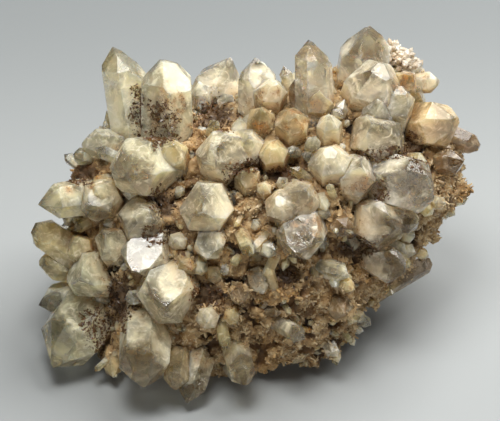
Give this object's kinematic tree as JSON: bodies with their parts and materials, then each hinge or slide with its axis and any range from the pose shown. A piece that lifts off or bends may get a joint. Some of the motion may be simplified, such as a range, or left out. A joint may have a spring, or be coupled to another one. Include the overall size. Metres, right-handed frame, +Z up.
{
  "type": "quartz crystal cluster on matrix",
  "caption": "Natural quartz cluster: stout six-sided crystals with pointed tips on a lump of iron-stained matrix rock; a free-standing mineral specimen.",
  "frame": {"origin": "middle of the bounding box's bottom, on the surface that the specimen rests on", "axes": "+Z up, +X along the longest side, the crystal face looks toward -Y and up"},
  "size_m": [0.1568, 0.1299, 0.1091],
  "materials": {
    "clear_quartz": "flat natural crystal faces, see-through with thin veils",
    "milky_quartz": "cloudy crystal, clearer at the tips",
    "grey_quartz": "grey cloudy crystal, satin faces",
    "stained_quartz": "crystal filmed with tan and orange iron stain",
    "smoky_quartz": "dark brown crystal",
    "matrix_rock": "rough granular rock with brown druse and iron stain"
  },
  "bodies": {
    "root": {"back_left": "milky_quartz", "back_middle": "clear_quartz", "back_ridge_left": "grey_quartz", "back_ridge_right": "milky_quartz", "back_ridge_tall": "milky_quartz", "back_right": "grey_quartz", "big_milky_left": "milky_quartz", "big_point_lower_left": "milky_quartz", "blunt_lower_left": "milky_quartz", "bottom_point": "milky_quartz", "bright_facet_left": "clear_quartz", "brown_wedge": "stained_quartz", "clear_big_right": "clear_quartz", "clear_edge_left": "clear_quartz", "clear_top_left": "clear_quartz", "clear_top_middle": "clear_quartz", "clear_top_right": "clear_quartz", "clouded_right_middle": "milky_quartz", "cloudy_lower_left": "milky_quartz", "dark_blade_right": "smoky_quartz", "dark_edge_right": "smoky_quartz", "edge_point_right": "clear_quartz", "facing_centre": "milky_quartz", "facing_lower_left": "milky_quartz", "flashing_lower": "clear_quartz", "foot_point": "grey_quartz", "foot_stub": "stained_quartz", "greenish_left": "stained_quartz", "grey_lower_right": "grey_quartz", "grey_pair": "grey_quartz", "grey_upper_middle": "grey_quartz", "grey_upper_right": "grey_quartz", "hexagon_left": "grey_quartz", "matrix": "matrix_rock", "milky_pair": "milky_quartz", "milky_top_middle": "milky_quartz", "milky_top_right": "milky_quartz", "point_upper_left": "milky_quartz", "pointed_centre": "clear_quartz", "pointed_top": "clear_quartz", "rounded_left": "clear_quartz", "rounded_upper_right": "milky_quartz", "rusty_foot_middle": "milky_quartz", "rusty_top_right": "stained_quartz", "shadowed_pair_right": "grey_quartz", "sheltered_left": "grey_quartz", "smoky_stub_right": "smoky_quartz", "smoky_top_stub": "smoky_quartz", "stained_row_left": "stained_quartz", "stained_row_middle": "stained_quartz", "stained_row_right": "stained_quartz", "striated_centre": "clear_quartz", "tall_pair": "milky_quartz", "tan_block_right": "stained_quartz", "tan_middle": "stained_quartz", "tan_shoulder_left": "stained_quartz", "twin_left": "grey_quartz", "upright_milky": "milky_quartz", "yellow_pair_left": "stained_quartz"}
  },
  "joints": []
}
